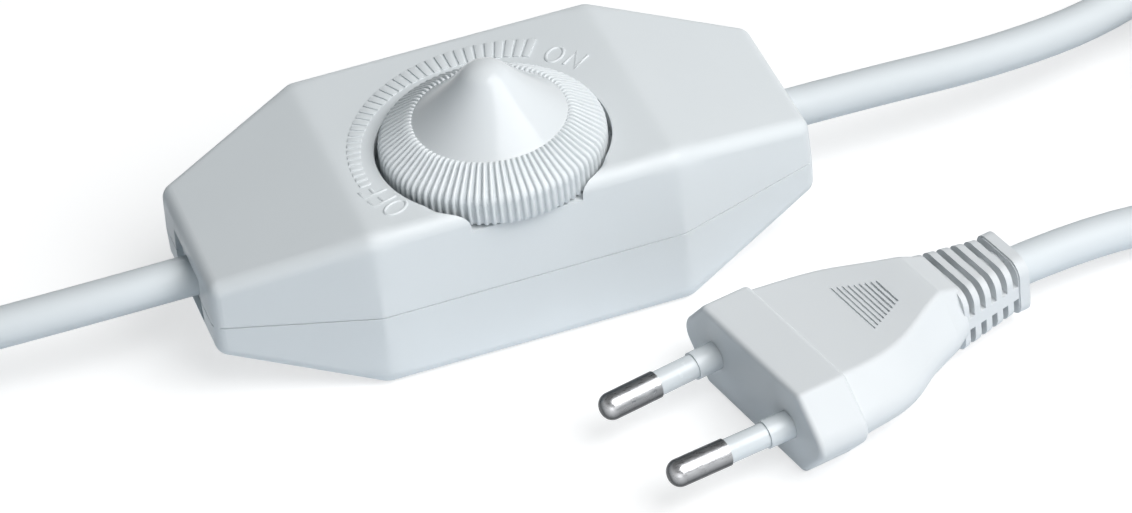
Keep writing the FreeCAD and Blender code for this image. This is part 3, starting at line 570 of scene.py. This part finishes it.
def soften_ridges(material):
    """Rounds the shading over the housing's ridges, but not near the parting line."""
    tree = material.node_tree
    bump = next(node for node in tree.nodes if node.type == "BUMP")
    source = tree.nodes.new("ShaderNodeTexCoord")
    parts = add_node(tree, "ShaderNodeSeparateXYZ", {"Vector": source.outputs["Object"]})
    out = add_node(tree, "ShaderNodeMath", {0: parts.outputs["X"]}, operation="ABSOLUTE")
    off = add_node(tree, "ShaderNodeMath", {0: out.outputs["Value"], 1: ridge_x * MM}, operation="SUBTRACT")
    away = add_node(tree, "ShaderNodeMath", {0: off.outputs["Value"]}, operation="ABSOLUTE")
    radius = add_node(tree, "ShaderNodeMapRange", {"Value": away.outputs["Value"],
                                                   "From Min": ridge_reach * MM,
                                                   "From Max": 0.6 * ridge_reach * MM,
                                                   "To Min": 0.0, "To Max": ridge_rounding * MM})
    above = add_node(tree, "ShaderNodeMath", {0: parts.outputs["Z"], 1: parting_height * MM},
                     operation="SUBTRACT")
    clear = add_node(tree, "ShaderNodeMath", {0: above.outputs["Value"]}, operation="ABSOLUTE")
    share = add_node(tree, "ShaderNodeMapRange", {"Value": clear.outputs["Value"],
                                                  "From Min": ridge_rounding * MM,
                                                  "From Max": 2.0 * ridge_rounding * MM})
    kept = add_node(tree, "ShaderNodeMath", {0: radius.outputs["Result"], 1: share.outputs["Result"]},
                    operation="MULTIPLY")
    bevel = add_node(tree, "ShaderNodeBevel", {"Radius": kept.outputs["Value"]}, samples=8)
    tree.links.new(bevel.outputs["Normal"], bump.inputs["Normal"])


def metal(name, colour, roughness, mark_mm, stretch, edge=None):
    """Turned or rolled metal with fine marks along one way; given an edge colour, it paints a dark
    reflection where the surface turns away.
    """
    material, tree, shader = new_material(name, colour, roughness, metallic=1.0)
    vector = coordinates(tree, stretch)
    marks = noise(tree, vector, 1000.0 / mark_mm, 4.0)
    tree.links.new(spread(tree, marks, roughness * 0.7, roughness * 1.5), shader.inputs["Roughness"])
    darker = tuple(c * (0.6 if edge else 0.93) for c in colour)
    base = two_colours(tree, marks, darker, colour)
    # The edge colour is painted shade: a dark reflection painted on the rims that turn away from the view.
    if edge:
        weight = add_node(tree, "ShaderNodeLayerWeight", {"Blend": 0.5})
        painted_rim_share = add_node(tree, "ShaderNodeMapRange", {"Value": weight.outputs["Facing"], "From Min": 0.05,
                                                       "From Max": 0.5})
        painted_dark_rim = two_colours(tree, painted_rim_share.outputs["Result"], colour, edge)
        facing_colour = next(socket for socket in painted_dark_rim.node.inputs if socket.type == "RGBA")
        tree.links.new(base, facing_colour)
        base = painted_dark_rim
    tree.links.new(base, shader.inputs["Base Color"])
    add_bump(tree, shader, marks, 0.15, 0.004)
    return material


def banded(name, base, bands, roughness, pitch_mm, axis=0):
    """A body with bands of colour across it, as on a resistor or a wound coil."""
    material, tree, shader = new_material(name, base, roughness)
    direction = ("X", "Y", "Z")[axis]
    source = tree.nodes.new("ShaderNodeTexCoord")
    wave = add_node(tree, "ShaderNodeTexWave", {"Vector": source.outputs["Object"],
                                                "Scale": 1000.0 / pitch_mm / 20, "Distortion": 0.3},
                    bands_direction=direction)
    tree.links.new(two_colours(tree, wave.outputs["Fac"], base, bands), shader.inputs["Base Color"])
    grain = noise(tree, source.outputs["Object"], 3000.0)
    tree.links.new(spread(tree, grain, roughness * 0.8, roughness * 1.2), shader.inputs["Roughness"])
    add_bump(tree, shader, wave.outputs["Fac"], 0.4, 0.05)
    return material


def two_cores(name, split_y_mm):
    """Insulated cores: brown on one side of a line along X, blue on the other."""
    material, tree, shader = new_material(name, (0.2, 0.08, 0.04), 0.35)
    source = tree.nodes.new("ShaderNodeTexCoord")
    parts = add_node(tree, "ShaderNodeSeparateXYZ", {"Vector": source.outputs["Object"]})
    side = add_node(tree, "ShaderNodeMath", {0: parts.outputs["Y"], 1: split_y_mm * MM},
                    operation="GREATER_THAN")
    tree.links.new(two_colours(tree, side.outputs["Value"], (0.16, 0.05, 0.02), (0.03, 0.12, 0.42)),
                   shader.inputs["Base Color"])
    grain = noise(tree, source.outputs["Object"], 1500.0)
    tree.links.new(spread(tree, grain, 0.28, 0.42), shader.inputs["Roughness"])
    add_bump(tree, shader, grain, 0.1, 0.02)
    return material


def make_materials():
    housing = plastic("housing_satin", housing_colour, 0.4, specular=0.4)
    soften_ridges(housing)
    made = {
        "housing_plastic": housing,
        "knob_plastic": plastic("knob_satin", knob_colour, 0.3),
        "dark_plastic": plastic("moulded_black", (0.02, 0.02, 0.022), 0.45),
        "board": banded("board_green", (0.03, 0.12, 0.05), (0.06, 0.2, 0.07), 0.4, 2.5, 1),
        "terminal_plastic": plastic("natural_polyamide", (0.6, 0.6, 0.56), 0.42),
        "zinc_steel": metal("zinc_plated", (0.62, 0.62, 0.58), 0.32, 0.4, (1, 1, 0.2)),
        "aluminium": metal("mill_aluminium", (0.74, 0.75, 0.76), 0.36, 0.3, (1, 0.08, 1)),
        "ferrite": plastic("sintered_ferrite", (0.015, 0.015, 0.015), 0.7, 0.4, 0.5, 0.2),
        "copper_wire": banded("enamelled_copper", (0.5, 0.16, 0.05), (0.25, 0.07, 0.02), 0.3, 1.0, 0),
        "capacitor_plastic": plastic("capacitor_yellow", (0.7, 0.42, 0.03), 0.28),
        "resistor": banded("resistor_bands", (0.5, 0.32, 0.14), (0.2, 0.03, 0.02), 0.4, 1.6, 0),
        "diac_glass": banded("diac_band", (0.4, 0.07, 0.02), (0.02, 0.02, 0.02), 0.12, 3.0, 1),
        "core_brown": two_cores("cores_inside", 0.0),
        "cord_sheath": plastic("sheath_white", cord_colour, 0.5, 0.5, 0.15, stretch=(0.25, 1, 1),
                               specular=0.3),
        "tinned_copper": metal("tinned", (0.7, 0.7, 0.69), 0.3, 0.3, (0.2, 1, 1)),
        "plug_plastic": plastic("plug_satin", plug_colour, 0.46, specular=0.3),
        # The pins' near-black edge colour is a painted reflection along the rims that turn away from the
        # view.
        "plated_brass": metal("nickel_plate_painted_dark_rim", (0.66, 0.67, 0.69), 0.3, 0.35, (0.25, 1, 1),
                              edge=(0.06, 0.065, 0.07)),
        "sleeve_plastic": plastic("sleeve_smooth", cord_colour, 0.25),
    }
    return made


def dress_nodes(made):
    slots = {row["node"]: row["material_slot"] for row in frame["record"]["subparts"]}
    for name, node in frame["nodes"].items():
        node.data.materials.clear()
        node.data.materials.append(made[slots[name]])
    end_cores = frame["nodes"]["lamp_end_cores"]
    end_cores.data.materials.clear()
    end_cores.data.materials.append(two_cores("cores_bare_end", lamp_tail[-1][1]))


# Stage

def add_camera():
    azimuth = math.radians(camera_azimuth_deg)
    elevation = math.radians(camera_elevation_deg)
    roll = math.radians(camera_roll_deg)
    back = Vector((math.sin(azimuth) * math.cos(elevation), -math.cos(azimuth) * math.cos(elevation),
                   math.sin(elevation)))
    level_right = Vector((math.cos(azimuth), math.sin(azimuth), 0))
    level_up = back.cross(level_right)
    right = level_right * math.cos(roll) + level_up * math.sin(roll)
    up = level_up * math.cos(roll) - level_right * math.sin(roll)
    place = right * camera_right_mm + up * camera_up_mm + back * camera_distance_mm
    data = bpy.data.cameras.new("camera")
    data.lens = camera_lens_mm
    data.sensor_width = 36.0
    data.sensor_fit = "HORIZONTAL"
    data.clip_start = 0.01
    data.clip_end = 50.0
    camera = bpy.data.objects.new("camera", data)
    turn = Matrix((right, up, back)).transposed().to_4x4()
    camera.matrix_world = Matrix.Translation(place * MM) @ turn
    bpy.context.scene.collection.objects.link(camera)
    bpy.context.scene.camera = camera


def seen_rays(tree):
    """One for the rays that show the background itself, in the view, in gloss or through glass."""
    path = tree.nodes.new("ShaderNodeLightPath")
    first = add_node(tree, "ShaderNodeMath", {0: path.outputs["Is Camera Ray"],
                                              1: path.outputs["Is Glossy Ray"]}, operation="MAXIMUM")
    both = add_node(tree, "ShaderNodeMath", {0: first.outputs["Value"],
                                             1: path.outputs["Is Transmission Ray"]}, operation="MAXIMUM")
    return both.outputs["Value"]


def add_floor():
    """A floor that shows white with soft shadows, and bounces cool light up at the object."""
    bm = bmesh.new()
    corners = ((-1, -1), (1, -1), (1, 1), (-1, 1))
    bm.faces.new([bm.verts.new((x * floor_reach, y * floor_reach, -floor_gap)) for x, y in corners])
    mesh = bpy.data.meshes.new("floor")
    bm.to_mesh(mesh)
    bm.free()
    floor = bpy.data.objects.new("floor", mesh)
    bpy.context.scene.collection.objects.link(floor)
    material = bpy.data.materials.new("floor_white")
    material.use_nodes = True
    tree = material.node_tree
    output = tree.nodes["Material Output"]
    tree.nodes.remove(tree.nodes["Principled BSDF"])
    shown = add_node(tree, "ShaderNodeBsdfDiffuse", {"Color": (*[floor_shown_albedo] * 3, 1)})
    glow = add_node(tree, "ShaderNodeEmission", {"Color": (1, 1, 1, 1), "Strength": floor_glow})
    lit = add_node(tree, "ShaderNodeAddShader", {0: shown.outputs["BSDF"], 1: glow.outputs["Emission"]})
    bounce = add_node(tree, "ShaderNodeBsdfDiffuse", {"Color": (*floor_bounce_colour, 1)})
    mix = add_node(tree, "ShaderNodeMixShader", {"Fac": seen_rays(tree), 1: bounce.outputs["BSDF"],
                                                 2: lit.outputs["Shader"]})
    tree.links.new(mix.outputs["Shader"], output.inputs["Surface"])
    mesh.materials.append(material)


def add_world():
    """Faint cool light all round, while the view and the gloss see a pale room, greyer overhead."""
    world = bpy.data.worlds.new("studio")
    bpy.context.scene.world = world
    world.use_nodes = True
    tree = world.node_tree
    tree.nodes.remove(tree.nodes["Background"])
    soft = add_node(tree, "ShaderNodeBackground", {"Color": (*soft_light_colour, 1),
                                                   "Strength": soft_light_level})
    source = tree.nodes.new("ShaderNodeTexCoord")
    parts = add_node(tree, "ShaderNodeSeparateXYZ", {"Vector": source.outputs["Generated"]})
    level = add_node(tree, "ShaderNodeMapRange", {"Value": parts.outputs["Z"],
                                                  "From Min": room_white_below,
                                                  "From Max": room_grey_above,
                                                  "To Min": 1.0, "To Max": room_grey_level})
    room = add_node(tree, "ShaderNodeBackground", {"Color": (1, 1, 1, 1),
                                                   "Strength": level.outputs["Result"]})
    mix = add_node(tree, "ShaderNodeMixShader", {"Fac": seen_rays(tree), 1: soft.outputs["Background"],
                                                 2: room.outputs["Background"]})
    tree.links.new(mix.outputs["Shader"], tree.nodes["World Output"].inputs["Surface"])


def add_lamp(name, direction, distance, size, level):
    """An area lamp that lights a surface facing it to the level, where 1 shows a colour as written."""
    data = bpy.data.lights.new(name, "AREA")
    data.shape = "SQUARE"
    data.size = size
    data.energy = level * math.pi ** 2 * distance ** 2
    lamp = bpy.data.objects.new(name, data)
    lamp.location = Vector(direction).normalized() * distance
    lamp.rotation_euler = Vector(direction).to_track_quat("Z", "Y").to_euler()
    bpy.context.scene.collection.objects.link(lamp)


add_camera()
cords = make_cords()
made = make_materials()
dress_nodes(made)
for cord in cords:
    cord.data.materials.append(made["cord_sheath"])
make_knob(plastic("knob_gloss", knob_gloss_colour, 0.15, 0.6, 0.04, specular=0.22), made["knob_plastic"])
housing_plain = plastic("housing_plain", housing_colour, 0.4, specular=0.4)
make_pocket_rim(housing_plain)
make_ticks(housing_plain)
make_word("word_off", off_letters, housing_plain)
make_word("word_on", on_letters, housing_plain)
add_floor()
add_world()
add_lamp("key", *key_lamp)
add_lamp("fill", *fill_lamp)

bpy.context.scene.view_settings.view_transform = "Standard"
